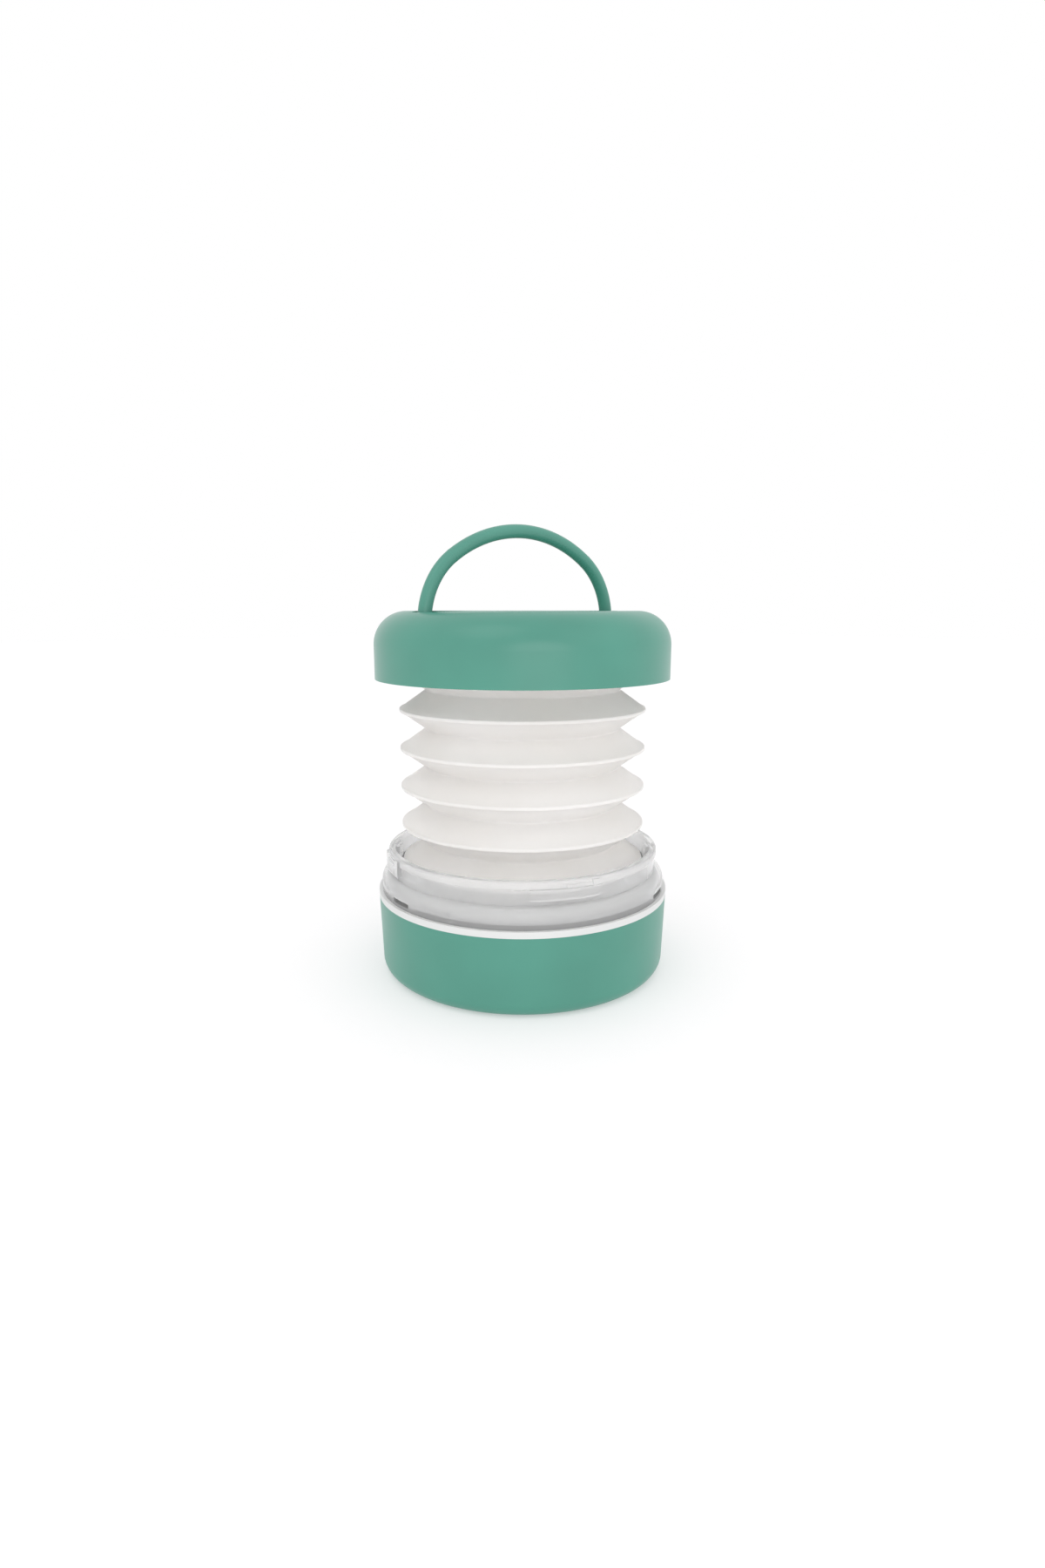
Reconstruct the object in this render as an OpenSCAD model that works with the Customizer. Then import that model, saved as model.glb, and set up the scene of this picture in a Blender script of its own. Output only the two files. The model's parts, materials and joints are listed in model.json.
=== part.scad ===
// Collapsible camping lantern: a base with battery power and LEDs, a folding silicone
// bellows as its shade, and a cap with a bail handle. The origin is the centre of the
// foot ring, +Z is up, and the lantern is drawn extended with its handle upright.
// Angles round the body are measured from +X, counterclockwise seen from above.

/* [Body] */
// Height from the foot ring to the top of the cap, with the bellows extended
body_h = 106; // [104:0.5:108]
// Outer radius at the open rim of the base
base_r = 43.4; // [43:0.1:44]
// Height of the green wall of the base
base_h = 23; // [22.6:0.1:23.4]
// Outer radius of the cap
cap_r = 42.7; // [42.6:0.05:42.8]
// Height of the cap from its rim to its top
cap_h = 19; // [18.5:0.1:19.2]
// Radius of the rounding round the top of the cap
cap_round = 9.5; // [9:0.25:10]
// Wall thickness of the cap's skirt
cap_wall = 1.4; // [1.3:0.05:1.45]

/* [Bellows] */
// Number of folds, hidden ones in the cap and the collar included
folds = 6; // [5:1:6]
// Outer radius at the crests
crest_r = 36; // [35:0.2:36.4]
// Outer radius at the valleys
valley_r = 28.3; // [28.2:0.1:29.5]
// Wall thickness of the silicone
skin = 0.7; // [0.5:0.05:0.8]
// How far the cap comes down when the lantern is closed
closing_travel = 56.5; // [56:0.1:56.6]

/* [Handle] */
// Half the span of the bail, at the middle of its rod
bail_half_span = 33.2; // [32.8:0.1:33.4]
// Height of the bail above its pivots, at the middle of its rod
bail_rise = 25.1; // [24.5:0.1:25.5]
// Radius of the bail's shoulders
bail_shoulder_r = 21.4; // [20.8:0.1:21.8]
// Diameter of the rod
rod_d = 3.8; // [3.4:0.1:4]

/* [Electrics] */
// Number of LEDs on the board
led_count = 6; // [3:1:10]
// Diameter of an AAA cell
cell_d = 10.5; // [10:0.1:10.5]
// Length of an AAA cell with its terminal
cell_l = 44.5; // [44:0.1:44.5]

/* [Hidden] */
$fn = 96;

GREEN = [0.38, 0.63, 0.56];
WHITE = [0.93, 0.93, 0.92];
CLEAR = [0.86, 0.88, 0.90, 0.4];
STEEL = [0.72, 0.73, 0.74];

over = 0.5; // how far a cutting shape runs past the face it opens
pin_gap = 0.08; // radial gap between a pin and its bore
clear_gap = 0.3; // gap between moving faces

// Cap
cap_rim_z = body_h - cap_h;
cap_top_wall = 1.6;
cap_in_r = cap_r - cap_wall;
lug_in_r = cap_in_r - 0.8;
lug_z = cap_rim_z + 0.4;
lug_h = 1;
lug_angle = 9;

// Bellows: it runs from the deck to the swivel plate inside the cap
bellows_z0 = 27.6;
bellows_z1 = body_h - 11.1;
fold_pitch = (bellows_z1 - bellows_z0) / folds;
crest_flat = 0.9; // height of the flat band round each crest
flange_t = 1.2;
flange_in_r = 22.5;

// Base and deck
floor_z = 1; // underside of the recessed floor, above the foot ring
floor_t = 2;
floor_top = floor_z + floor_t;
foot_round = 4;
base_low_r = base_r - 0.7;
base_wall = 1.7;
rim_t = 1.8; // visible edge of the white deck between base and collar
deck_z = base_h + rim_t;
platform_z = deck_z + 1.6;
platform_r = 30;
board_t = 1.6;
board_r = 19;
board_z = platform_z - 2;

// Clear collar
flange_r = 42.4;
flare_r = 2.9;
flare_z = deck_z + 3;
collar_r = flange_r - 2.7;
collar_t = 1.4;
collar_top = deck_z + 12.4;
bead_r = collar_r + 0.5;
rail_r = collar_r + 1.3;
rail_azimuth = 68.2; // middle of one bayonet rail; the others follow each quarter turn
rail_span = 28;
rail_z = lug_z + lug_h + clear_gap - closing_travel; // just over the lugs when closed
rail_h = 3;
rail_leg_h = 4.6;
lug_rest_azimuth = rail_azimuth + 20;

// Clamp screws
clamp_screw_r = 25;
clamp_t = 1.65;
clamp_screws = 4;

// Batteries
cell_pitch = 11.2;
cell_z = 8.35;
bay_x = 25;
bay_y = 17.2;
bay_top = 13.8;
bay_wall = 1.4;
plate_t = 0.4;
nub_l = 0.8;
nub_r = 1.9;
cell_slack = 0.1;
spring_l = 2 * bay_x - 2 * plate_t - cell_l - cell_slack;

// Battery door
door_x = 24.8;
door_y = 17;
door_t = 1.8;
door_axis_y = 17.4;
door_axis_z = 2.3;
door_barrel_r = 0.9;
door_pin_r = 0.7;

// Switch and button
button_y = -28;
button_r = 4.9;
button_z = 0.5; // its face sits just above the foot ring
button_travel = 1.2;
stem_top = 6.6;
switch_z = 5.6;
switch_h = 7;
switch_w = 8.5;
post_x = 9.5;

// Main screws
screw_x = 20;
screw_y = 27;
base_post_top = 10;

// Handle pivots
pivot_z = body_h - 3.1;
knuckle_r = 2.1;
knuckle_w = rod_d + 0.1;
stub_r = 1.2;
stub_l = 2.3;
groove_w = rod_d + 1.4;
groove_z = pivot_z - rod_d / 2 - 0.4;
arch_e = bail_half_span - bail_shoulder_r; // centres of the shoulder arcs, from the middle
arch_r = (arch_e * arch_e + bail_rise * bail_rise - bail_shoulder_r * bail_shoulder_r)
    / (2 * (bail_rise - bail_shoulder_r)); // radius of the crown arc
arch_drop = arch_r - bail_rise; // crown arc's centre, below the pivots
arch_turn = atan2(arch_drop, arch_e); // where shoulder and crown arcs meet

// ---- shapes that repeat ----

module tube(r_out, r_in, h) {
    difference() {
        cylinder(r = r_out, h = h);
        translate([0, 0, -over]) cylinder(r = r_in, h = h + 2 * over);
    }
}

// Part of a ring from angle a0 through angle da
module ring_arc(r_in, r_out, h, a0, da) {
    rotate([0, 0, a0]) rotate_extrude(angle = da)
        translate([r_in, 0]) square([r_out - r_in, h]);
}

// Places its children evenly round the Z axis
module around(count, r = 0, start = 0) {
    for (i = [0:count - 1])
        rotate([0, 0, start + i * 360 / count]) translate([r, 0, 0]) children();
}

// Profile of a round lid: flat top at height h, side radius r, rounded by f
module lid_profile(r, h, f) {
    square([r - f, h]);
    square([r, h - f]);
    translate([r - f, h - f]) circle(r = f);
}

// Pan-head screw, shank up from z = 0, head below, with a cross recess
module screw(shank_r, shank_l, head_r, head_h) {
    slot_w = head_r * 0.3;
    slot_l = head_r * 1.3;
    difference() {
        union() {
            cylinder(r = shank_r, h = shank_l);
            translate([0, 0, -head_h]) cylinder(r = head_r, h = head_h);
        }
        for (turn = [0, 90])
            rotate([0, 0, turn]) translate([-slot_l / 2, -slot_w / 2, -head_h - over])
                cube([slot_l, slot_w, over + head_h * 0.55]);
    }
}

// Tube of radius r swept along points, in rings of n sides that don't twist along the way
function unit(v) = v / norm(v);
function square_to(v, dir) = unit(v - (v * dir) * dir);
function tangent(path, i) =
    unit(path[min(i + 1, len(path) - 1)] - path[max(i - 1, 0)]);
function ring_points(p, dir, side, r, n) =
    [for (k = [0:n - 1]) p + r * (cos(360 * k / n) * side + sin(360 * k / n) * cross(dir, side))];

module sweep(path, r, n = 8) {
    rings = len(path);
    start_side = square_to([0.3, 0.4, 1], tangent(path, 0));
    side = [for (i = 0, s = start_side; i < rings;
        i = i + 1, s = i < rings ? square_to(s, tangent(path, i)) : s) s];
    points = [for (i = [0:rings - 1]) each ring_points(path[i], tangent(path, i), side[i], r, n)];
    sides = [for (i = [0:rings - 2], k = [0:n - 1])
        [i * n + k, (i + 1) * n + k, (i + 1) * n + (k + 1) % n, i * n + (k + 1) % n]];
    start = [[for (k = [0:n - 1]) k]];
    end = [[for (k = [n - 1:-1:0]) (rings - 1) * n + k]];
    polyhedron(points, concat(sides, start, end));
}

// A smooth route through a few points, steps of t along each span
function spline_point(a, b, c, d, t) =
    0.5 * (2 * b + (c - a) * t + (2 * a - 5 * b + 4 * c - d) * t * t
        + (3 * b - a - 3 * c + d) * t * t * t);
function smooth_path(p, steps = 5) =
    let (n = len(p))
    concat([for (i = [0:n - 2], s = [0:steps - 1])
        spline_point(p[max(i - 1, 0)], p[i], p[i + 1], p[min(i + 2, n - 1)], s / steps)],
        [p[n - 1]]);

// ---- base ----

module base_outer() {
    translate([0, 0, foot_round]) cylinder(r1 = base_low_r, r2 = base_r, h = base_h - foot_round);
    rotate_extrude() {
        square([base_low_r - foot_round, foot_round]);
        intersection() {
            translate([base_low_r - foot_round, foot_round]) circle(r = foot_round);
            square([base_low_r, foot_round]);
        }
    }
}

module base_cavity() {
    translate([0, 0, floor_top]) {
        cylinder(r1 = base_low_r - base_wall - 2, r2 = base_low_r - base_wall, h = 2.5);
        translate([0, 0, 2.5])
            cylinder(r1 = base_low_r - base_wall, r2 = base_r - base_wall, h = base_h - floor_top - 2.5);
    }
    translate([0, 0, base_h - over]) cylinder(r = base_r - base_wall, h = 2 * over);
}

// The battery bay's walls and ceiling, the screw posts and the hinge bosses
module base_inside() {
    translate([-bay_x - bay_wall, -bay_y - bay_wall, floor_z])
        cube([2 * (bay_x + bay_wall), 2 * (bay_y + bay_wall), bay_top + bay_wall - floor_z]);
    for (x = [-screw_x, screw_x], y = [-screw_y, screw_y])
        translate([x, y, floor_z]) cylinder(r = 3.6, h = base_post_top - floor_z);
    for (x = [-post_x, post_x])
        translate([x, button_y, floor_z]) cylinder(r = 2.3, h = switch_z + switch_h - floor_z);
    for (x = [-1, 1])
        translate([x * (bay_x + 1.6) - 1.8, door_axis_y - 2.4, floor_z]) cube([3.6, 4.6, 3.6]);
}

module door_opening() {
    translate([-door_x - 0.15, -door_y - 0.15, floor_z - over])
        cube([2 * door_x + 0.3, door_y + door_axis_y + 0.15, floor_t + 2 * over]);
    translate([-door_x - 0.15, door_axis_y, door_axis_z]) rotate([0, 90, 0])
        cylinder(r = 1.5, h = 2 * door_x + 0.3);
    translate([-door_x - 0.15, door_axis_y, floor_z - over])
        cube([2 * door_x + 0.3, 1.5, door_axis_z - floor_z + over]);
}

module base_shell() {
    color(GREEN) difference() {
        union() {
            difference() {
                base_outer();
                base_cavity();
            }
            base_inside();
        }
        // recess inside the foot ring
        translate([0, 0, -over]) cylinder(r = 36.5, h = floor_z + over);
        // battery bay
        translate([-bay_x, -bay_y, floor_z - over])
            cube([2 * bay_x, 2 * bay_y - 0.4, bay_top - floor_z + over]);
        door_opening();
        translate([-bay_x - 1.9, door_axis_y, door_axis_z]) rotate([0, 90, 0])
            cylinder(r = door_pin_r + pin_gap, h = 2 * bay_x + 3.8);
        // slits for the two battery tabs
        for (side = [-1, 1])
            translate([side * (bay_x - plate_t / 2) - 0.35, side * -cell_pitch - 2, bay_top - over])
                cube([0.7, 4, bay_wall + 2 * over]);
        // holes and counterbores for the main screws
        for (x = [-screw_x, screw_x], y = [-screw_y, screw_y])
            translate([x, y, 0]) {
                cylinder(r = 1.6, h = base_post_top + over);
                cylinder(r = 3, h = 5);
            }
        // button hole
        translate([0, button_y, 0]) cylinder(r = button_r + 0.15, h = floor_top + over);
        // pilot holes for the switch board
        for (x = [-post_x, post_x])
            translate([x, button_y, switch_z]) cylinder(r = 0.95, h = switch_h + over);
    }
}

module deck_profile() {
    lip_r = base_r - base_wall - 0.25;
    polygon([[lip_r, base_h - 2.8], [lip_r, base_h], [base_r, base_h], [base_r, deck_z],
        [platform_r + 1.2, deck_z], [platform_r, platform_z], [board_r + 0.2, platform_z],
        [board_r + 0.2, board_z], [0, board_z], [0, board_z - 1.6], [board_r + 1.8, board_z - 1.6],
        [board_r + 1.8, deck_z], [platform_r - 1.2, deck_z], [platform_r, deck_z - 1.6],
        [lip_r - 1.5, deck_z - 1.6], [lip_r - 1.5, base_h - 2.8]]);
}

module deck_plate() {
    color(WHITE) difference() {
        union() {
            rotate_extrude() deck_profile();
            for (x = [-screw_x, screw_x], y = [-screw_y, screw_y])
                translate([x, y, base_post_top + 0.05])
                    cylinder(r = 3.2, h = deck_z - 1 - base_post_top - 0.05);
            around(clamp_screws, clamp_screw_r, 45)
                translate([0, 0, 18]) cylinder(r = 2.4, h = deck_z + 0.5 - 18);
        }
        for (x = [-screw_x, screw_x], y = [-screw_y, screw_y])
            translate([x, y, 0]) cylinder(r = 1.45, h = 20);
        around(clamp_screws, clamp_screw_r, 45)
            translate([0, 0, 19]) cylinder(r = 1.1, h = 12);
        // wire hole under the LED board
        translate([8, 0, board_z - 3]) cylinder(r = 3, h = 5);
        // slots for the collar's snap hooks
        for (i = [0:2])
            translate([0, 0, deck_z - 3])
                ring_arc(37.4, 40.05, 3 + over, hook_azimuth(i) - 5.5, 11);
    }
}

function hook_azimuth(i) = rail_azimuth + 110 + i * 120;

// ---- clear collar ----

module collar_wall_profile() {
    // flange wall, rounded flare and upright wall, as one shell
    difference() {
        union() {
            translate([0, deck_z]) square([flange_r, flare_z - deck_z]);
            intersection() {
                translate([flange_r - flare_r, flare_z]) circle(r = flare_r);
                translate([0, flare_z]) square([flange_r, flare_r]);
            }
            translate([0, flare_z]) square([flange_r - flare_r, flare_r]);
            translate([0, flare_z]) square([collar_r, collar_top - 1 - flare_z]);
            translate([0, collar_top - 2.4]) square([bead_r - 0.6, 2.4]);
            translate([bead_r - 0.6, collar_top - 1.8]) square([0.6, 1.2]);
            for (z = [collar_top - 1.8, collar_top - 0.6])
                translate([bead_r - 0.6, z]) circle(r = 0.6);
        }
        translate([0, deck_z - over]) square([flange_r - collar_t, flare_z - deck_z + over]);
        intersection() {
            translate([flange_r - flare_r, flare_z]) circle(r = flare_r - collar_t);
            translate([0, flare_z - over]) square([flange_r, flare_r + over]);
        }
        translate([0, flare_z - over]) square([collar_r - collar_t, collar_top - flare_z + 2 * over]);
    }
}

// L-shaped rail: a bar, a low rise over its second half and a leg at its end
module bayonet_rail() {
    root_r = collar_r - 0.6;
    half = rail_span / 2;
    translate([0, 0, rail_z]) ring_arc(root_r, rail_r, rail_h, -half, rail_span);
    translate([0, 0, rail_z + 1]) {
        ring_arc(root_r - 0.1, rail_r - 0.5, rail_h - 0.1, 0, half - 1.5);
        ring_arc(root_r - 0.2, rail_r - 0.15, rail_leg_h - 1, half - 3.3, 3);
    }
}

module clear_collar() {
    color(CLEAR) difference() {
        union() {
            rotate_extrude() collar_wall_profile();
            // flange that lies on the deck
            translate([0, 0, deck_z]) tube(flange_r - 0.4, 37.6, 1.2);
            around(4, 0, rail_azimuth) bayonet_rail();
            // pads inside the upright wall
            for (i = [0:9])
                translate([0, 0, flare_z + 4])
                    ring_arc(collar_r - collar_t - 1.1, collar_r - collar_t + 0.4, 4.6,
                        rail_azimuth + 1 + i * 36 - 5.5, 11);
            // ribs inside the flange
            for (i = [0:7])
                rotate([0, 0, rail_azimuth + i * 45])
                    translate([38.6, -0.4, deck_z]) cube([2.8, 0.8, 2.8]);
            // snap hooks, down through the deck
            for (i = [0:2]) {
                translate([0, 0, deck_z - 3.2])
                    ring_arc(38.6, 39.8, 3.6, hook_azimuth(i) - 5, 10);
                translate([0, 0, deck_z - 3.2])
                    ring_arc(37.8, 39, 1.4, hook_azimuth(i) - 5, 10);
            }
        }
        // windows over the hooks, which let the mould release them
        for (i = [0:2])
            translate([0, 0, deck_z + 0.9])
                ring_arc(40.4, flange_r + over, 1.3, hook_azimuth(i) - 5.5, 11);
    }
}

// ---- bellows ----

// Half profile of the outer face (side = 0) or the inner face (side = 1), bottom to top
function bellows_face(side) =
    let (d = side * skin, slope = atan2(fold_pitch / 2, crest_r - valley_r), k = d / sin(slope))
    [for (i = [0:folds]) each
        let (z = bellows_z0 + i * fold_pitch)
        concat([[valley_r - d, z]],
            i == folds ? [] : [
                [crest_r - 0.5 - d, z + fold_pitch / 2 - crest_flat / 2 - 0.25 + side * 0.1],
                [crest_r - d, z + fold_pitch / 2 - crest_flat / 2 + side * 0.15],
                [crest_r - d, z + fold_pitch / 2 + crest_flat / 2 - side * 0.15],
                [crest_r - 0.5 - d, z + fold_pitch / 2 + crest_flat / 2 + 0.25 - side * 0.1]])];

function reversed(v) = [for (i = [len(v) - 1:-1:0]) v[i]];

module bellows_flange(z) {
    translate([0, 0, z]) difference() {
        tube(valley_r, flange_in_r, flange_t);
        around(clamp_screws, clamp_screw_r, 45)
            translate([0, 0, -over]) cylinder(r = 1.5, h = flange_t + 2 * over);
    }
}

module bellows() {
    color(WHITE) union() {
        rotate_extrude() polygon(concat(bellows_face(0), reversed(bellows_face(1))));
        bellows_flange(bellows_z0 - flange_t);
        bellows_flange(bellows_z1);
    }
}

// Ring that clamps a bellows flange; it lies inside the folds
module clamp_ring(z, r_in) {
    color(WHITE) translate([0, 0, z]) difference() {
        tube(27.3, r_in, clamp_t);
        around(clamp_screws, clamp_screw_r, 45)
            translate([0, 0, -over]) cylinder(r = 1.3, h = clamp_t + 2 * over);
    }
}

module lower_clamp_ring() {
    clamp_ring(bellows_z0, 20.8);
}

module lower_clamp_screws() {
    color(STEEL) around(clamp_screws, clamp_screw_r, 45)
        translate([0, 0, bellows_z0 + clamp_t]) rotate([180, 0, 0]) screw(1.05, 9.6, 2.2, 1.5);
}

// ---- light ----

module led_board() {
    color("white") translate([0, 0, board_z]) difference() {
        cylinder(r = board_r, h = board_t);
        around(3, 16, 30) translate([0, 0, -over]) cylinder(r = 1, h = board_t + 2 * over);
    }
}

module leds() {
    color([0.95, 0.85, 0.45]) around(led_count, 11, 30)
        translate([-1.75, -1.4, board_z + board_t]) cube([3.5, 2.8, 0.8]);
}

// A resistor for each pair of LEDs and a regulator, on the board between the LEDs
module board_parts() {
    color([0.15, 0.15, 0.16]) {
        around(3, 5.2, 60)
            translate([-1, -0.6, board_z + board_t]) cube([2, 1.2, 0.6]);
        translate([-1.5, -1.3, board_z + board_t]) cube([3, 2.6, 1]);
    }
}

module dome_shell(r_base, rise) {
    ball_r = (r_base * r_base + rise * rise) / (2 * rise);
    intersection() {
        translate([0, rise - ball_r]) circle(r = ball_r, $fn = 256);
        square([r_base, rise + over]);
    }
}

module diffuser_dome() {
    color([0.95, 0.95, 0.95, 0.6]) translate([0, 0, platform_z]) union() {
        tube(22.3, 17.4, 1.15);
        translate([0, 0, 1.1]) rotate_extrude() difference() {
            dome_shell(18.6, 5.6);
            translate([0, -0.01]) dome_shell(17.4, 4.5);
        }
    }
}

// ---- batteries and contacts ----

// A cell along X with its terminal at +X
module cell(y) {
    x_end = bay_x - plate_t - cell_slack;
    body_l = cell_l - nub_l;
    color([0.25, 0.35, 0.45]) translate([x_end - cell_l, y, cell_z]) rotate([0, 90, 0]) {
        cylinder(r = cell_d / 2, h = body_l);
        translate([0, 0, body_l]) cylinder(r = nub_r, h = nub_l);
    }
}

module battery_1() {
    cell(-cell_pitch);
}

// The middle cell faces the other way
module battery_2() {
    mirror([1, 0, 0]) cell(0);
}

module battery_3() {
    cell(cell_pitch);
}

// Contact plate on the wall at side * bay_x, from y0 to y1
module contact_plate(side, y0, y1) {
    x = side > 0 ? bay_x - plate_t : -bay_x;
    translate([x, y0, cell_z - 4]) cube([plate_t, y1 - y0, 8]);
}

// Tab that carries a wire up through the bay's ceiling
module contact_tab(side) {
    x = side > 0 ? bay_x - plate_t : -bay_x;
    translate([x, side * -cell_pitch - 1.5, cell_z]) cube([plate_t, 3, 9.4]);
}

module contact_link_left() {
    color(STEEL) contact_plate(-1, -cell_pitch - 4, 4);
}

module contact_link_right() {
    color(STEEL) contact_plate(1, -4, cell_pitch + 4);
}

module contact_positive() {
    color(STEEL) union() {
        contact_plate(1, -cell_pitch - 4, -cell_pitch + 4);
        contact_tab(1);
    }
}

module contact_negative() {
    color(STEEL) union() {
        contact_plate(-1, cell_pitch - 4, cell_pitch + 4);
        contact_tab(-1);
    }
}

// Conical spring from a plate to the flat end of a cell
module contact_spring(y, side) {
    turns = 3;
    steps = 14;
    wire_r = 0.3;
    span = spring_l - 2 * wire_r - 0.04;
    path = [for (i = [0:turns * steps])
        let (t = i / (turns * steps), r = 3.6 - 1.5 * t, a = 360 * i / steps)
        [side * (bay_x - plate_t - wire_r - 0.02 - span * t), y + r * cos(a), cell_z + r * sin(a)]];
    sweep(path, wire_r, 6);
}

module contact_springs() {
    color(STEEL) {
        contact_spring(-cell_pitch, -1);
        contact_spring(0, 1);
        contact_spring(cell_pitch, -1);
    }
}

module wire(points) {
    sweep(smooth_path(points), 0.6, 8);
}

module wire_positive() {
    color("red") wire([[25.7, -11, 17.2], [25, -16, 17.6], [21, -21.5, 17.6], [12, -25, 16.6],
        [5, -28, 14.6]]);
}

module wire_switched() {
    color("red") wire([[-5, -28, 14.6], [-9, -24, 17.6], [-4, -15, 19.4], [3, -7, 19.4], [7, -2, 20.4],
        [7.2, -1.4, 23.9]]);
}

module wire_negative() {
    color("black") wire([[-25.7, 11, 17.2], [-25.4, 6, 17.8], [-18, 3, 19.2], [-6, 4, 19.6], [5, 4, 19.8],
        [8.2, 2.6, 21], [8.6, 1.6, 23.9]]);
}

// ---- switch ----

module switch_body() {
    color([0.12, 0.12, 0.13]) difference() {
        translate([-switch_w / 2, button_y - switch_w / 2, switch_z])
            cube([switch_w, switch_w, switch_h]);
        // well for the button's stem, deep enough for its travel
        translate([0, button_y, switch_z - over])
            cylinder(r = 1.4, h = over + stem_top - switch_z + button_travel + clear_gap);
    }
}

module switch_board() {
    color([0.1, 0.35, 0.2]) difference() {
        translate([-post_x - 3, button_y - 5, switch_z + switch_h]) cube([2 * post_x + 6, 10, 1.2]);
        for (x = [-post_x, post_x])
            translate([x, button_y, switch_z + switch_h - over]) cylinder(r = 1.1, h = 1.2 + 2 * over);
    }
}

module switch_board_screws() {
    color(STEEL) for (x = [-post_x, post_x])
        translate([x, button_y, switch_z + switch_h + 1.2]) rotate([180, 0, 0]) screw(0.9, 5.5, 1.8, 1.2);
}

module power_button() {
    color([0.30, 0.52, 0.46]) translate([0, button_y, 0]) difference() {
        union() {
            translate([0, 0, button_z]) cylinder(r = button_r, h = floor_top + 0.3 - button_z);
            translate([0, 0, floor_top + 0.1]) cylinder(r = button_r + 1.2, h = 0.9);
            translate([0, 0, floor_top + 0.5]) cylinder(r = 1.2, h = stem_top - floor_top - 0.5);
        }
        translate([0, 0, button_z - 9.2]) sphere(r = 9.6);
    }
}

module base_screws() {
    color(STEEL) for (x = [-screw_x, screw_x], y = [-screw_y, screw_y])
        translate([x, y, 5]) screw(1.4, 13, 2.7, 1.9);
}

// ---- battery door ----

module battery_door() {
    pin_l = 2 * bay_x + 3;
    color(GREEN) difference() {
        union() {
            translate([-door_x, -door_y, floor_z]) cube([2 * door_x, door_y + door_axis_y, door_t]);
            translate([-door_x, door_axis_y, door_axis_z]) rotate([0, 90, 0])
                cylinder(r = door_barrel_r, h = 2 * door_x);
            translate([-pin_l / 2, door_axis_y, door_axis_z]) rotate([0, 90, 0])
                cylinder(r = door_pin_r, h = pin_l);
        }
        // U-shaped slot that frees the latch tongue, and a thumb hollow on it
        for (x = [-7.6, 6.8])
            translate([x, -door_y - over, floor_z - over]) cube([0.8, 9 + over, door_t + 2 * over]);
        translate([0, -door_y + 4, floor_z - 6.2]) sphere(r = 7);
        // grip lines
        for (i = [0:4])
            translate([-9, 2 + i * 2.4, floor_z - over]) cube([18, 0.9, 0.4 + over]);
    }
}

// ---- head of the bellows ----

module swivel_plate() {
    color(WHITE) translate([0, 0, bellows_z1 + flange_t + 0.05]) difference() {
        union() {
            cylinder(r = 33, h = 1.8);
            cylinder(r = 12, h = 1.95);
        }
        translate([0, 0, -over]) cylinder(r = 4.2, h = 3);
        around(clamp_screws, clamp_screw_r, 45)
            translate([0, 0, -over]) cylinder(r = 1.1, h = 3);
    }
}

module top_clamp_ring() {
    clamp_ring(bellows_z1 - clamp_t, 20.8);
}

module top_clamp_screws() {
    color(STEEL) around(clamp_screws, clamp_screw_r, 45)
        translate([0, 0, bellows_z1 - clamp_t]) screw(1.05, 4.4, 2.2, 1.5);
}

// ---- cap ----

// Outline of the bail seen square on, pivots on the X axis, offset outward by d
module arch_outline(d) {
    intersection() {
        union() {
            for (x = [-arch_e, arch_e]) translate([x, 0]) circle(r = bail_shoulder_r + d);
            intersection() {
                translate([0, -arch_drop]) circle(r = arch_r + d, $fn = 256);
                translate([-crown_half(d), 0]) square([2 * crown_half(d), bail_rise + d + 1]);
            }
        }
        translate([-50, 0]) square([100, 60]);
    }
}

function crown_half(d) = (arch_r + d) * cos(arch_turn);

// Band of width w along the bail, folded down onto the cap towards -Y
module folded_band(w, z0, z1) {
    translate([0, 0, z0]) linear_extrude(z1 - z0) mirror([0, 1]) difference() {
        arch_outline(w / 2);
        arch_outline(-w / 2);
    }
}

module cap_outer() {
    translate([0, 0, cap_rim_z]) rotate_extrude() intersection() {
        lid_profile(cap_r, cap_h, cap_round);
        square([cap_r + 1, cap_h]);
    }
}

module cap_inner() {
    translate([0, 0, cap_rim_z - over]) rotate_extrude() intersection() {
        lid_profile(cap_in_r, cap_h - cap_top_wall + over, cap_round - cap_wall);
        square([cap_r + 1, cap_h]);
    }
}

module knuckle_pocket() {
    pocket_w = knuckle_w + 4 * clear_gap;
    translate([bail_half_span - pocket_w / 2, -knuckle_r - 0.4, pivot_z - knuckle_r - 0.4])
        cube([pocket_w, 2 * (knuckle_r + 0.4), 10]);
}

module pocket_body() {
    translate([bail_half_span - knuckle_w / 2 - 4.2, -knuckle_r - 1.8, pivot_z - knuckle_r - 1.8])
        cube([knuckle_w + 8, 2 * (knuckle_r + 1.8), 8]);
}

// Ball that hollows the top of the cap in front of the folded bail, grown by d
module thumb_scoop(d) {
    translate([0, -bail_rise - 2.2, body_h + 7.4]) sphere(r = 10 + d);
}

module both_sides() {
    children();
    mirror([1, 0, 0]) children();
}

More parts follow.
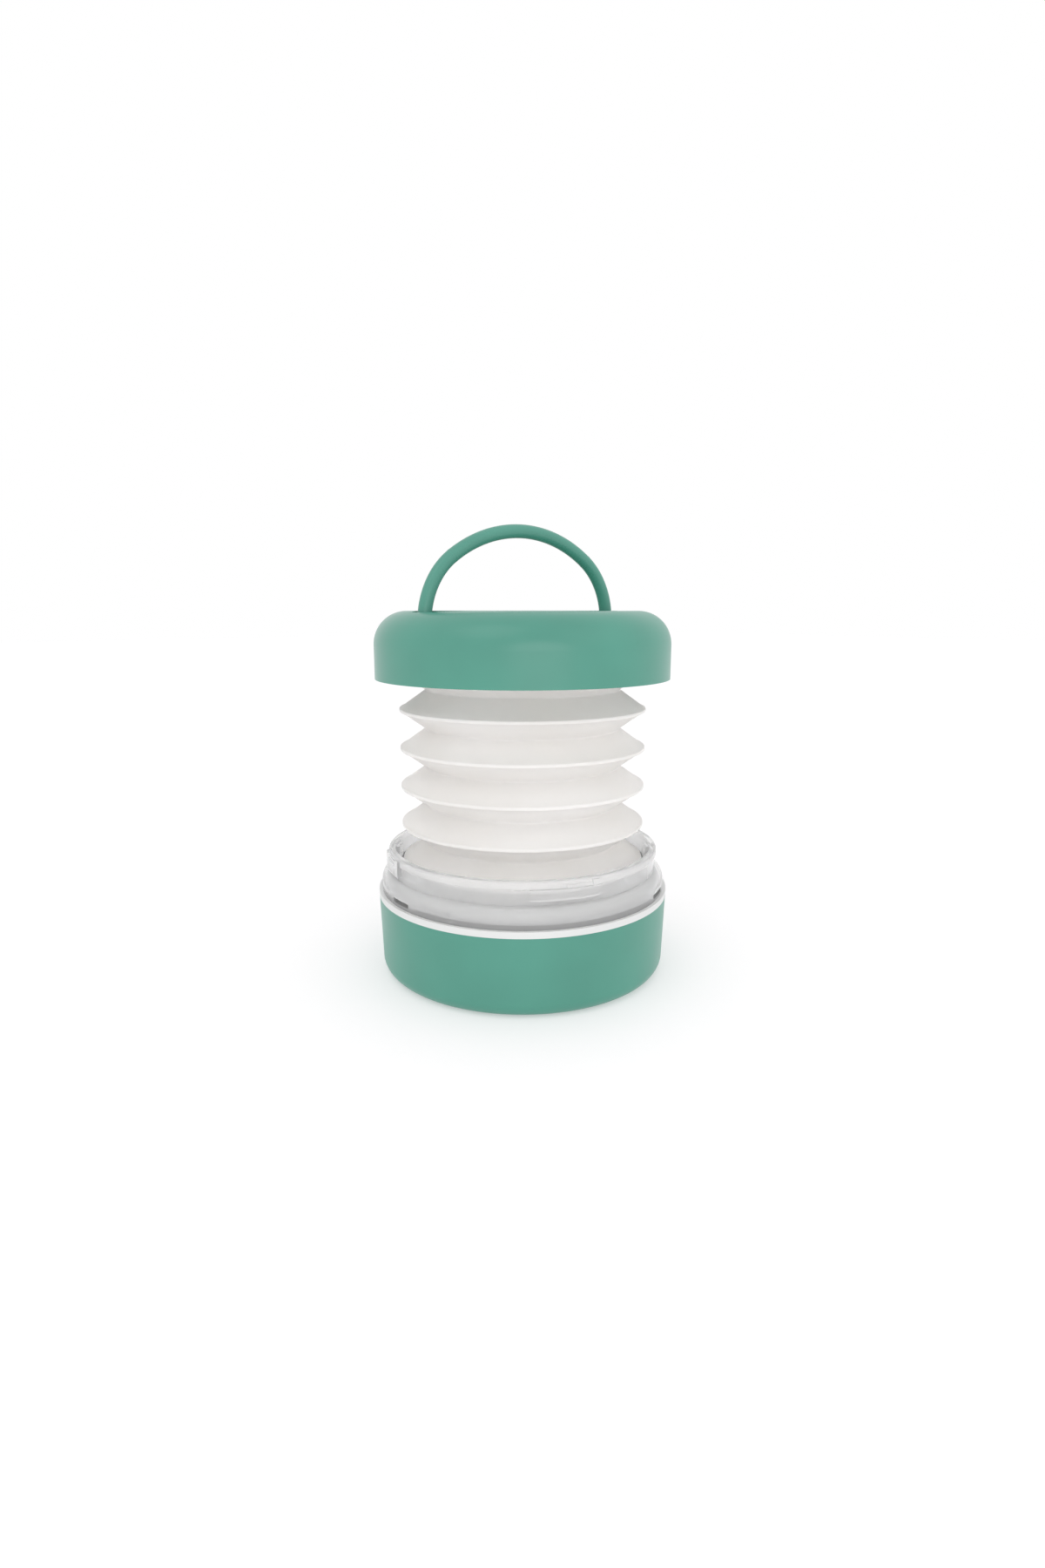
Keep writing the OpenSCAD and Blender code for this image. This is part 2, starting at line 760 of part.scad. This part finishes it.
module cap_shell() {
    hub_z = bellows_z1 + flange_t + 2 + clear_gap;
    color(GREEN) difference() {
        union() {
            difference() {
                cap_outer();
                cap_inner();
            }
            intersection() {
                cap_outer();
                union() {
                    folded_band(groove_w + 2.6, groove_z - 1.4, body_h);
                    both_sides() pocket_body();
                    thumb_scoop(cap_top_wall);
                }
            }
            // hub that the swivel plate turns on
            translate([0, 0, hub_z]) cylinder(r = 8, h = body_h - cap_top_wall - hub_z + 0.2);
            translate([0, 0, bellows_z1 + 0.9]) cylinder(r = 4.1, h = 8);
            // bayonet lugs
            for (i = [0:3])
                translate([0, 0, lug_z])
                    ring_arc(lug_in_r, cap_in_r + 0.5, lug_h,
                        lug_rest_azimuth + i * 90 - lug_angle / 2, lug_angle);
        }
        difference() {
            folded_band(groove_w, groove_z, body_h + 1);
            translate([-50, -knuckle_r - 0.4, groove_z - 1]) cube([100, 10, 10]);
        }
        both_sides() {
            knuckle_pocket();
            // blind bore for the bail's stub
            translate([bail_half_span - knuckle_w / 2 - stub_l - 0.3, 0, pivot_z]) rotate([0, 90, 0])
                cylinder(r = stub_r + pin_gap, h = stub_l + 0.3);
        }
        thumb_scoop(0);
        // pilot hole for the pivot screw
        translate([0, 0, bellows_z1]) cylinder(r = 1.45, h = 7.5);
    }
}

module pivot_washer() {
    color(STEEL) translate([0, 0, bellows_z1 - 0.1]) tube(7.5, 1.6, 1);
}

module pivot_screw() {
    color(STEEL) translate([0, 0, bellows_z1 - 0.1]) screw(1.4, 7, 3, 1.6);
}

// ---- handle ----

// Stretch of rod: a torus piece about centre [cx, cz] in the upright plane
module rod_arc(cx, cz, r, a0, a1) {
    translate([cx, 0, cz]) rotate([90, 0, 0]) rotate([0, 0, a0])
        rotate_extrude(angle = a1 - a0) translate([r, 0]) circle(r = rod_d / 2);
}

module handle() {
    color(GREEN) union() {
        rod_arc(0, pivot_z - arch_drop, arch_r, arch_turn, 180 - arch_turn);
        both_sides() {
            rod_arc(arch_e, pivot_z, bail_shoulder_r, 0, arch_turn);
            // faint bead where the arcs meet
            translate([arch_e + bail_shoulder_r * cos(arch_turn), 0,
                pivot_z + bail_shoulder_r * sin(arch_turn)]) sphere(r = rod_d / 2 + 0.04);
            translate([bail_half_span - knuckle_w / 2, 0, pivot_z]) rotate([0, 90, 0])
                cylinder(r = knuckle_r, h = knuckle_w);
            translate([bail_half_span - knuckle_w / 2 - stub_l, 0, pivot_z]) rotate([0, 90, 0])
                cylinder(r = stub_r, h = stub_l + 1);
        }
    }
}

base_shell();
deck_plate();
clear_collar();
bellows();
lower_clamp_ring();
lower_clamp_screws();
led_board();
leds();
board_parts();
diffuser_dome();
battery_1();
battery_2();
battery_3();
contact_link_left();
contact_link_right();
contact_positive();
contact_negative();
contact_springs();
wire_positive();
wire_switched();
wire_negative();
switch_body();
switch_board();
switch_board_screws();
base_screws();
swivel_plate();
top_clamp_ring();
top_clamp_screws();
cap_shell();
pivot_washer();
pivot_screw();
handle();
power_button();
battery_door();
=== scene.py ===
"""Looks of the collapsible camping lantern: materials, the folded silicone and a soft studio."""
import json
import math

import bmesh
import bpy
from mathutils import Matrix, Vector


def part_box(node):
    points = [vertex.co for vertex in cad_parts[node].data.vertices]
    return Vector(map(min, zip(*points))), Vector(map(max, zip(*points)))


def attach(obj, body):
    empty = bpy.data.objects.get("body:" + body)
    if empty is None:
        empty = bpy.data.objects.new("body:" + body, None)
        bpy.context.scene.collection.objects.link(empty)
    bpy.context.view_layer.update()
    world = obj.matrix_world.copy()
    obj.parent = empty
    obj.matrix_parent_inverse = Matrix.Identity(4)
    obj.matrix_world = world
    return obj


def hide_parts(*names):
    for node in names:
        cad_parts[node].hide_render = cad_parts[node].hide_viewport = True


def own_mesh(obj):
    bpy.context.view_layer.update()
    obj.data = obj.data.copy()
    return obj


MM = 0.001

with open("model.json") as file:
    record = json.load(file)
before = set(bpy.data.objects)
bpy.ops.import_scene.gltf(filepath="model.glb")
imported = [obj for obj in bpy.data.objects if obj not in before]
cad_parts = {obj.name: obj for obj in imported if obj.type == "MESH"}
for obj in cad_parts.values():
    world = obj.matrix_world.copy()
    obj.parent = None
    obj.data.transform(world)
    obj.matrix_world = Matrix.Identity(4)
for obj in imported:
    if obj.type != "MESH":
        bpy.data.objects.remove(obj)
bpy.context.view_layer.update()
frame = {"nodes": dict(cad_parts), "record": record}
nodes = frame["nodes"]
slots = {part["node"]: part["material_slot"] for part in frame["record"]["subparts"]}


# ---- camera ----

def look_from(turn_deg, distance, height, pitch_deg, lens):
    """A level-headed camera on a circle round the axis, pitched down."""
    turn = math.radians(turn_deg)
    data = bpy.data.cameras.new("camera")
    data.sensor_fit = "AUTO"
    data.sensor_width = 36
    data.lens = lens
    data.clip_start = 0.01
    data.clip_end = 20
    camera = bpy.data.objects.new("camera", data)
    camera.location = (distance * math.sin(turn), -distance * math.cos(turn), height)
    camera.rotation_euler = (math.radians(90 - pitch_deg), 0, turn)
    bpy.context.scene.collection.objects.link(camera)
    bpy.context.scene.camera = camera


# the camera's turn round the axis; the lights follow it
TURN = -38.5
look_from(turn_deg=TURN, distance=0.2499, height=0.1065, pitch_deg=11.65, lens=19.49)


# ---- node helpers ----

class Shader:
    """Builds one material's nodes with short calls."""

    def __init__(self, name):
        self.material = bpy.data.materials.new(name)
        self.material.use_nodes = True
        self.tree = self.material.node_tree
        self.surface = self.tree.nodes["Principled BSDF"]
        self.coordinates = self.add("ShaderNodeTexCoord").outputs["Object"]

    def add(self, kind, **values):
        node = self.tree.nodes.new(kind)
        for key, value in values.items():
            setattr(node, key, value)
        return node

    def link(self, source, target):
        self.tree.links.new(source, target)

    def put(self, **values):
        """Sets plain numbers and colours on the surface shader; _ stands for a space."""
        for key, value in values.items():
            self.surface.inputs[key.replace("_", " ")].default_value = value

    def noise(self, scale, detail=3.0, roughness=0.5, stretch=(1, 1, 1)):
        place = self.add("ShaderNodeMapping")
        place.inputs["Scale"].default_value = stretch
        self.link(self.coordinates, place.inputs["Vector"])
        texture = self.add("ShaderNodeTexNoise")
        texture.inputs["Scale"].default_value = scale
        texture.inputs["Detail"].default_value = detail
        texture.inputs["Roughness"].default_value = roughness
        self.link(place.outputs["Vector"], texture.inputs["Vector"])
        return texture.outputs["Fac"]

    def spread(self, value, low, high, start=0.3, end=0.7):
        """Maps a noise value between start and end to low and high."""
        node = self.add("ShaderNodeMapRange")
        node.inputs["From Min"].default_value = start
        node.inputs["From Max"].default_value = end
        node.inputs["To Min"].default_value = low
        node.inputs["To Max"].default_value = high
        self.link(value, node.inputs["Value"])
        return node.outputs["Result"]

    def blend(self, factor, first, second):
        node = self.add("ShaderNodeMix", data_type="RGBA")
        node.inputs["A"].default_value = (*first, 1)
        node.inputs["B"].default_value = (*second, 1)
        self.link(factor, node.inputs["Factor"])
        return node.outputs["Result"]

    def bump(self, value, height, strength=1.0):
        node = self.add("ShaderNodeBump")
        node.inputs["Strength"].default_value = strength
        node.inputs["Distance"].default_value = height
        self.link(value, node.inputs["Height"])
        self.link(node.outputs["Normal"], self.surface.inputs["Normal"])


def scaled(colour, share):
    return tuple(min(1.0, channel * share) for channel in colour)


# ---- materials ----

GREEN = (0.0708, 0.2745, 0.2095)
WHITE = (0.88, 0.88, 0.87)
# painted shade: the deck's white plastic made greyer than WHITE so that its edge looks shaded
DECK_SHADED_WHITE = (0.7, 0.704, 0.7)
SLEEVE = (0.03, 0.04, 0.06)
SLEEVE_BAND = (0.55, 0.22, 0.05)
BARE_STEEL = (0.7, 0.7, 0.71)
SLEEVE_END = 1.6 * MM
SLEEVE_EDGE = 0.1 * MM
BAND_SHARE = 0.45


def moulded_plastic(name, colour, roughness=0.32, depth=0.05):
    """Opaque moulded plastic: fine spark-eroded grain and faint, slow changes of shade."""
    shader = Shader(name)
    slow = shader.noise(45, detail=2)
    fine = shader.noise(2600, detail=2)
    shade = shader.spread(slow, 0, 1)
    shader.link(shader.blend(shade, scaled(colour, 1 - depth), scaled(colour, 1 + depth)),
                shader.surface.inputs["Base Color"])
    shader.link(shader.spread(slow, roughness - 0.04, roughness + 0.06),
                shader.surface.inputs["Roughness"])
    shader.bump(fine, 0.012 * MM, 0.6)
    shader.put(IOR=1.5)
    return shader.material


def clear_plastic(name, tint, roughness=0.09):
    """Clear moulded plastic with a slight haze and flow marks."""
    shader = Shader(name)
    flow = shader.noise(60, detail=2, stretch=(1, 1, 3))
    shader.link(shader.blend(shader.spread(flow, 0, 1), scaled(tint, 0.985), tint),
                shader.surface.inputs["Base Color"])
    shader.link(shader.spread(flow, roughness * 0.7, roughness * 1.4),
                shader.surface.inputs["Roughness"])
    shader.bump(flow, 0.05 * MM, 0.5)
    shader.put(IOR=1.25, Transmission_Weight=0.7)
    return shader.material


def silicone(name):
    """Translucent warm-white silicone rubber with a soft matt skin."""
    shader = Shader(name)
    cloud = shader.noise(38, detail=3)
    fine = shader.noise(1800, detail=2)
    shader.link(shader.blend(shader.spread(cloud, 0, 1), (0.965, 0.95, 0.93), (0.99, 0.98, 0.97)),
                shader.surface.inputs["Base Color"])
    shader.link(shader.spread(cloud, 0.5, 0.6), shader.surface.inputs["Roughness"])
    shader.bump(fine, 0.01 * MM, 0.5)
    shader.put(IOR=1.3, Transmission_Weight=0.35)
    return shader.material


def metal(name, colour, roughness=0.28):
    """Plated steel with fine drawn scratches and patchy gloss."""
    shader = Shader(name)
    patch = shader.noise(300, detail=3)
    scratch = shader.noise(900, detail=2, stretch=(1, 6, 1))
    shader.link(shader.blend(shader.spread(patch, 0, 1), scaled(colour, 0.86), colour),
                shader.surface.inputs["Base Color"])
    shader.link(shader.spread(scratch, roughness - 0.08, roughness + 0.12),
                shader.surface.inputs["Roughness"])
    shader.bump(scratch, 0.006 * MM, 0.5)
    shader.put(Metallic=1.0)
    return shader.material


def battery_sleeve(name, node, facing):
    """A cell along X: a dark shrink sleeve, copper towards its terminal, and bare steel ends."""
    shader = Shader(name)
    split = shader.add("ShaderNodeSeparateXYZ")
    shader.link(shader.coordinates, split.inputs["Vector"])
    cell_low, cell_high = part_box(node)
    half_length = (cell_high.x - cell_low.x) / 2
    centred = shader.add("ShaderNodeMath", operation="SUBTRACT")
    centred.inputs[1].default_value = (cell_low.x + cell_high.x) / 2
    shader.link(split.outputs["X"], centred.inputs[0])
    forward = shader.add("ShaderNodeMath", operation="MULTIPLY")
    forward.inputs[1].default_value = facing
    shader.link(centred.outputs[0], forward.inputs[0])
    along = forward.outputs[0]
    away = shader.add("ShaderNodeMath", operation="ABSOLUTE")
    shader.link(along, away.inputs[0])
    end_start = half_length - SLEEVE_END
    bare = shader.spread(away.outputs[0], 0, 1, end_start - SLEEVE_EDGE, end_start)
    band_start = half_length * BAND_SHARE
    banded = shader.spread(along, 0, 1, band_start, band_start + SLEEVE_EDGE)
    wrinkle = shader.noise(500, detail=2, stretch=(0.3, 1, 1))
    sleeve = shader.blend(banded, SLEEVE, SLEEVE_BAND)
    mixed = shader.add("ShaderNodeMix", data_type="RGBA")
    mixed.inputs["B"].default_value = (*BARE_STEEL, 1)
    shader.link(bare, mixed.inputs["Factor"])
    shader.link(sleeve, mixed.inputs["A"])
    shader.link(mixed.outputs["Result"], shader.surface.inputs["Base Color"])
    shader.link(bare, shader.surface.inputs["Metallic"])
    shader.link(shader.spread(wrinkle, 0.22, 0.36), shader.surface.inputs["Roughness"])
    shader.bump(wrinkle, 0.02 * MM, 0.6)
    return shader.material


materials = {
    "green_shell": moulded_plastic("green_shell", GREEN),
    "green_cap": moulded_plastic("green_cap", GREEN),
    "green_bail": moulded_plastic("green_bail", GREEN, roughness=0.38),
    "green_door": moulded_plastic("green_door", GREEN, roughness=0.45),
    "white_plastic": moulded_plastic("white_plastic", WHITE, roughness=0.4, depth=0.02),
    "clear_plastic": clear_plastic("clear_plastic", (0.99, 0.993, 0.995)),
    "frosted_plastic": moulded_plastic("frosted_plastic", (0.86, 0.86, 0.84), roughness=0.5,
                                       depth=0.02),
    "silicone": silicone("silicone"),
    "button_rubber": moulded_plastic("button_rubber", (0.07, 0.24, 0.19), roughness=0.6),
    "zinc_steel": metal("zinc_steel", (0.72, 0.73, 0.75)),
    "nickel_spring": metal("nickel_spring", (0.78, 0.76, 0.72), roughness=0.22),
    "cell_case": battery_sleeve("cell_case", "battery_1", 1),
    "circuit_board": moulded_plastic("circuit_board", (0.8, 0.81, 0.8), roughness=0.35,
                                     depth=0.03),
    "switch_board_green": moulded_plastic("switch_board_green", (0.02, 0.13, 0.05),
                                          roughness=0.3),
    "led_phosphor": moulded_plastic("led_phosphor", (0.85, 0.62, 0.12), roughness=0.35),
    "black_component": moulded_plastic("black_component", (0.02, 0.02, 0.022), roughness=0.5),
    "red_insulation": moulded_plastic("red_insulation", (0.5, 0.02, 0.02), roughness=0.4),
    "black_insulation": moulded_plastic("black_insulation", (0.015, 0.015, 0.015),
                                        roughness=0.4),
}

for name, thing in nodes.items():
    thing.data.materials.clear()
    thing.data.materials.append(materials[slots[name]])

# the middle cell faces the other way, and the deck gets a greyer copy of the white plastic:
# painted shade on its edge, not a different plastic
own_materials = {
    "battery_2": battery_sleeve("cell_case_reversed", "battery_2", -1),
    "deck_plate": moulded_plastic("deck_painted_shade", DECK_SHADED_WHITE, roughness=0.4, depth=0.02),
}
for name, material in own_materials.items():
    nodes[name].data.materials.clear()
    nodes[name].data.materials.append(material)


# ---- bellows ----

LATHE_STEPS = 192


def lathe(name, outline):
    """A mesh turned round the axis from a closed loop of (radius, height) points, in metres."""
    mesh = bmesh.new()
    rings = []
    for radius, height in outline:
        ring = []
        for step in range(LATHE_STEPS):
            angle = 2 * math.pi * step / LATHE_STEPS
            place = (radius * math.cos(angle), radius * math.sin(angle), height)
            ring.append(mesh.verts.new(place))
        rings.append(ring)
    for lower, upper in list(zip(rings, rings[1:])) + [(rings[-1], rings[0])]:
        for step in range(LATHE_STEPS):
            after = (step + 1) % LATHE_STEPS
            mesh.faces.new((lower[step], lower[after], upper[after], upper[step]))
    bmesh.ops.recalc_face_normals(mesh, faces=mesh.faces)
    data = bpy.data.meshes.new(name)
    mesh.to_mesh(data)
    mesh.free()
    data.shade_smooth()
    piece = bpy.data.objects.new(name, data)
    bpy.context.scene.collection.objects.link(piece)
    return piece


def corner(a, b, c, radius, steps):
    """Points of an arc that rounds the corner b between the lines to a and to c."""
    a, b, c = Vector(a), Vector(b), Vector(c)
    before = (a - b).normalized()
    after = (c - b).normalized()
    half = before.angle(after) / 2
    reach = min(radius / math.tan(half), (a - b).length * 0.49, (c - b).length * 0.49)
    radius = reach * math.tan(half)
    centre = b + (before + after).normalized() * (radius / math.sin(half))
    first = b + before * reach - centre
    last = b + after * reach - centre
    sweep = first.angle(last)
    side = 1 if first.x * last.y - first.y * last.x > 0 else -1
    points = []
    for step in range(steps + 1):
        angle = side * sweep * step / steps
        turn = (math.cos(angle), math.sin(angle))
        points.append((centre.x + first.x * turn[0] - first.y * turn[1],
                       centre.y + first.x * turn[1] + first.y * turn[0]))
    return points


# the folded wall, from the axis out
FOLDS = 6
CREST = 36.0 * MM
VALLEY = 28.3 * MM
SKIN = 0.7 * MM
CREST_SKIN = 1.6 * SKIN
FLANGE_IN = 22.5 * MM
FLANGE = 1.2 * MM
# the bead along each crest, and how the corners are rounded
BEAD_DEPTH = 0.72 * MM
BEAD_HALF = 0.45 * MM
NECK_HALF = 0.62 * MM
BEAD_ROUND = 0.3 * MM
VALLEY_ROUND = 0.35 * MM
INNER_ROUND = 0.6 * MM
low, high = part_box("bellows")
bottom = low.z + FLANGE
top = high.z - FLANGE


def bellows_outline():
    """Both faces of the folded wall, with rounded corners and a bead along each crest."""
    pitch = (top - bottom) / FOLDS
    neck = CREST - BEAD_DEPTH
    inside = VALLEY - SKIN
    outer = []
    inner = []
    for fold in range(FOLDS):
        z0 = bottom + fold * pitch
        crest_z = z0 + pitch / 2
        low_shoulder = (neck, crest_z - NECK_HALF)
        low_edge = (CREST, crest_z - BEAD_HALF)
        high_edge = (CREST, crest_z + BEAD_HALF)
        high_shoulder = (neck, crest_z + NECK_HALF)
        outer += [low_shoulder] + corner(low_shoulder, low_edge, high_edge, BEAD_ROUND, 3)
        outer += corner(low_edge, high_edge, high_shoulder, BEAD_ROUND, 3) + [high_shoulder]
        inner_crest = (CREST - CREST_SKIN, crest_z)
        inner_low = (inside, z0)
        inner_high = (inside, z0 + pitch)
        inner += corner(inner_low, inner_crest, inner_high, INNER_ROUND, 3)
        if fold < FOLDS - 1:
            valley = (VALLEY, z0 + pitch)
            outer += corner(high_shoulder, valley, (neck, crest_z + pitch), VALLEY_ROUND, 4)
            inner += [inner_high]
    start = [(FLANGE_IN, low.z), (VALLEY, low.z), (VALLEY, bottom)]
    finish = [(VALLEY, top), (VALLEY, high.z), (FLANGE_IN, high.z), (FLANGE_IN, top),
              (inside, top)]
    end = [(inside, bottom), (FLANGE_IN, bottom)]
    return start + outer + finish + inner[::-1] + end


bellows = lathe("bellows_shade", bellows_outline())
bellows.data.materials.append(materials["silicone"])
bellows.data.set_sharp_from_angle(angle=math.radians(50))
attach(bellows, "base")
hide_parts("bellows")
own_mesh(bellows)


# ---- studio ----

def stage_floor():
    """A flat pale floor, faintly luminous."""
    size = 3.0
    mesh = bpy.data.meshes.new("floor")
    corners = [(-size, -size, 0), (size, -size, 0), (size, size, 0), (-size, size, 0)]
    mesh.from_pydata(corners, [], [(0, 1, 2, 3)])
    floor = bpy.data.objects.new("floor", mesh)
    shader = Shader("floor")
    tone = shader.noise(3, detail=2)
    shader.link(shader.blend(tone, (0.62, 0.612, 0.618), (0.64, 0.632, 0.638)),
                shader.surface.inputs["Base Color"])
    shader.put(Roughness=0.8, Emission_Color=(1, 0.99, 0.995, 1), Emission_Strength=0.37)
    mesh.materials.append(shader.material)
    bpy.context.scene.collection.objects.link(floor)


def soft_light(name, azimuth, elevation, distance, size, power):
    """An area light that points at the object's middle; azimuth as the camera's."""
    a = math.radians(azimuth)
    e = math.radians(elevation)
    data = bpy.data.lights.new(name, "AREA")
    data.shape = "DISK"
    data.size = size
    data.energy = power
    light = bpy.data.objects.new(name, data)
    aim = Vector((0, 0, 0.06))
    back = Vector((math.sin(a) * math.cos(e), -math.cos(a) * math.cos(e), math.sin(e)))
    light.location = aim + back * distance
    light.rotation_mode = "QUATERNION"
    light.rotation_quaternion = (-back).to_track_quat("-Z", "Y")
    bpy.context.scene.collection.objects.link(light)


def studio():
    world = bpy.data.worlds.new("studio")
    bpy.context.scene.world = world
    world.use_nodes = True
    background = world.node_tree.nodes["Background"]
    background.inputs["Color"].default_value = (1, 1, 1, 1)
    background.inputs["Strength"].default_value = 1.0
    stage_floor()
    soft_light("key", TURN - 35, 55, 0.9, 0.6, 0.6)
    soft_light("fill", TURN + 60, 35, 1.0, 0.8, 0.35)
    soft_light("low_fill", TURN + 12, 4, 1.1, 0.9, 2.5)
    cycles = bpy.context.scene.cycles
    cycles.max_bounces = 24
    cycles.diffuse_bounces = 12
    cycles.transmission_bounces = 20
    view = bpy.context.scene.view_settings
    view.view_transform = "Standard"
    view.look = "None"


studio()
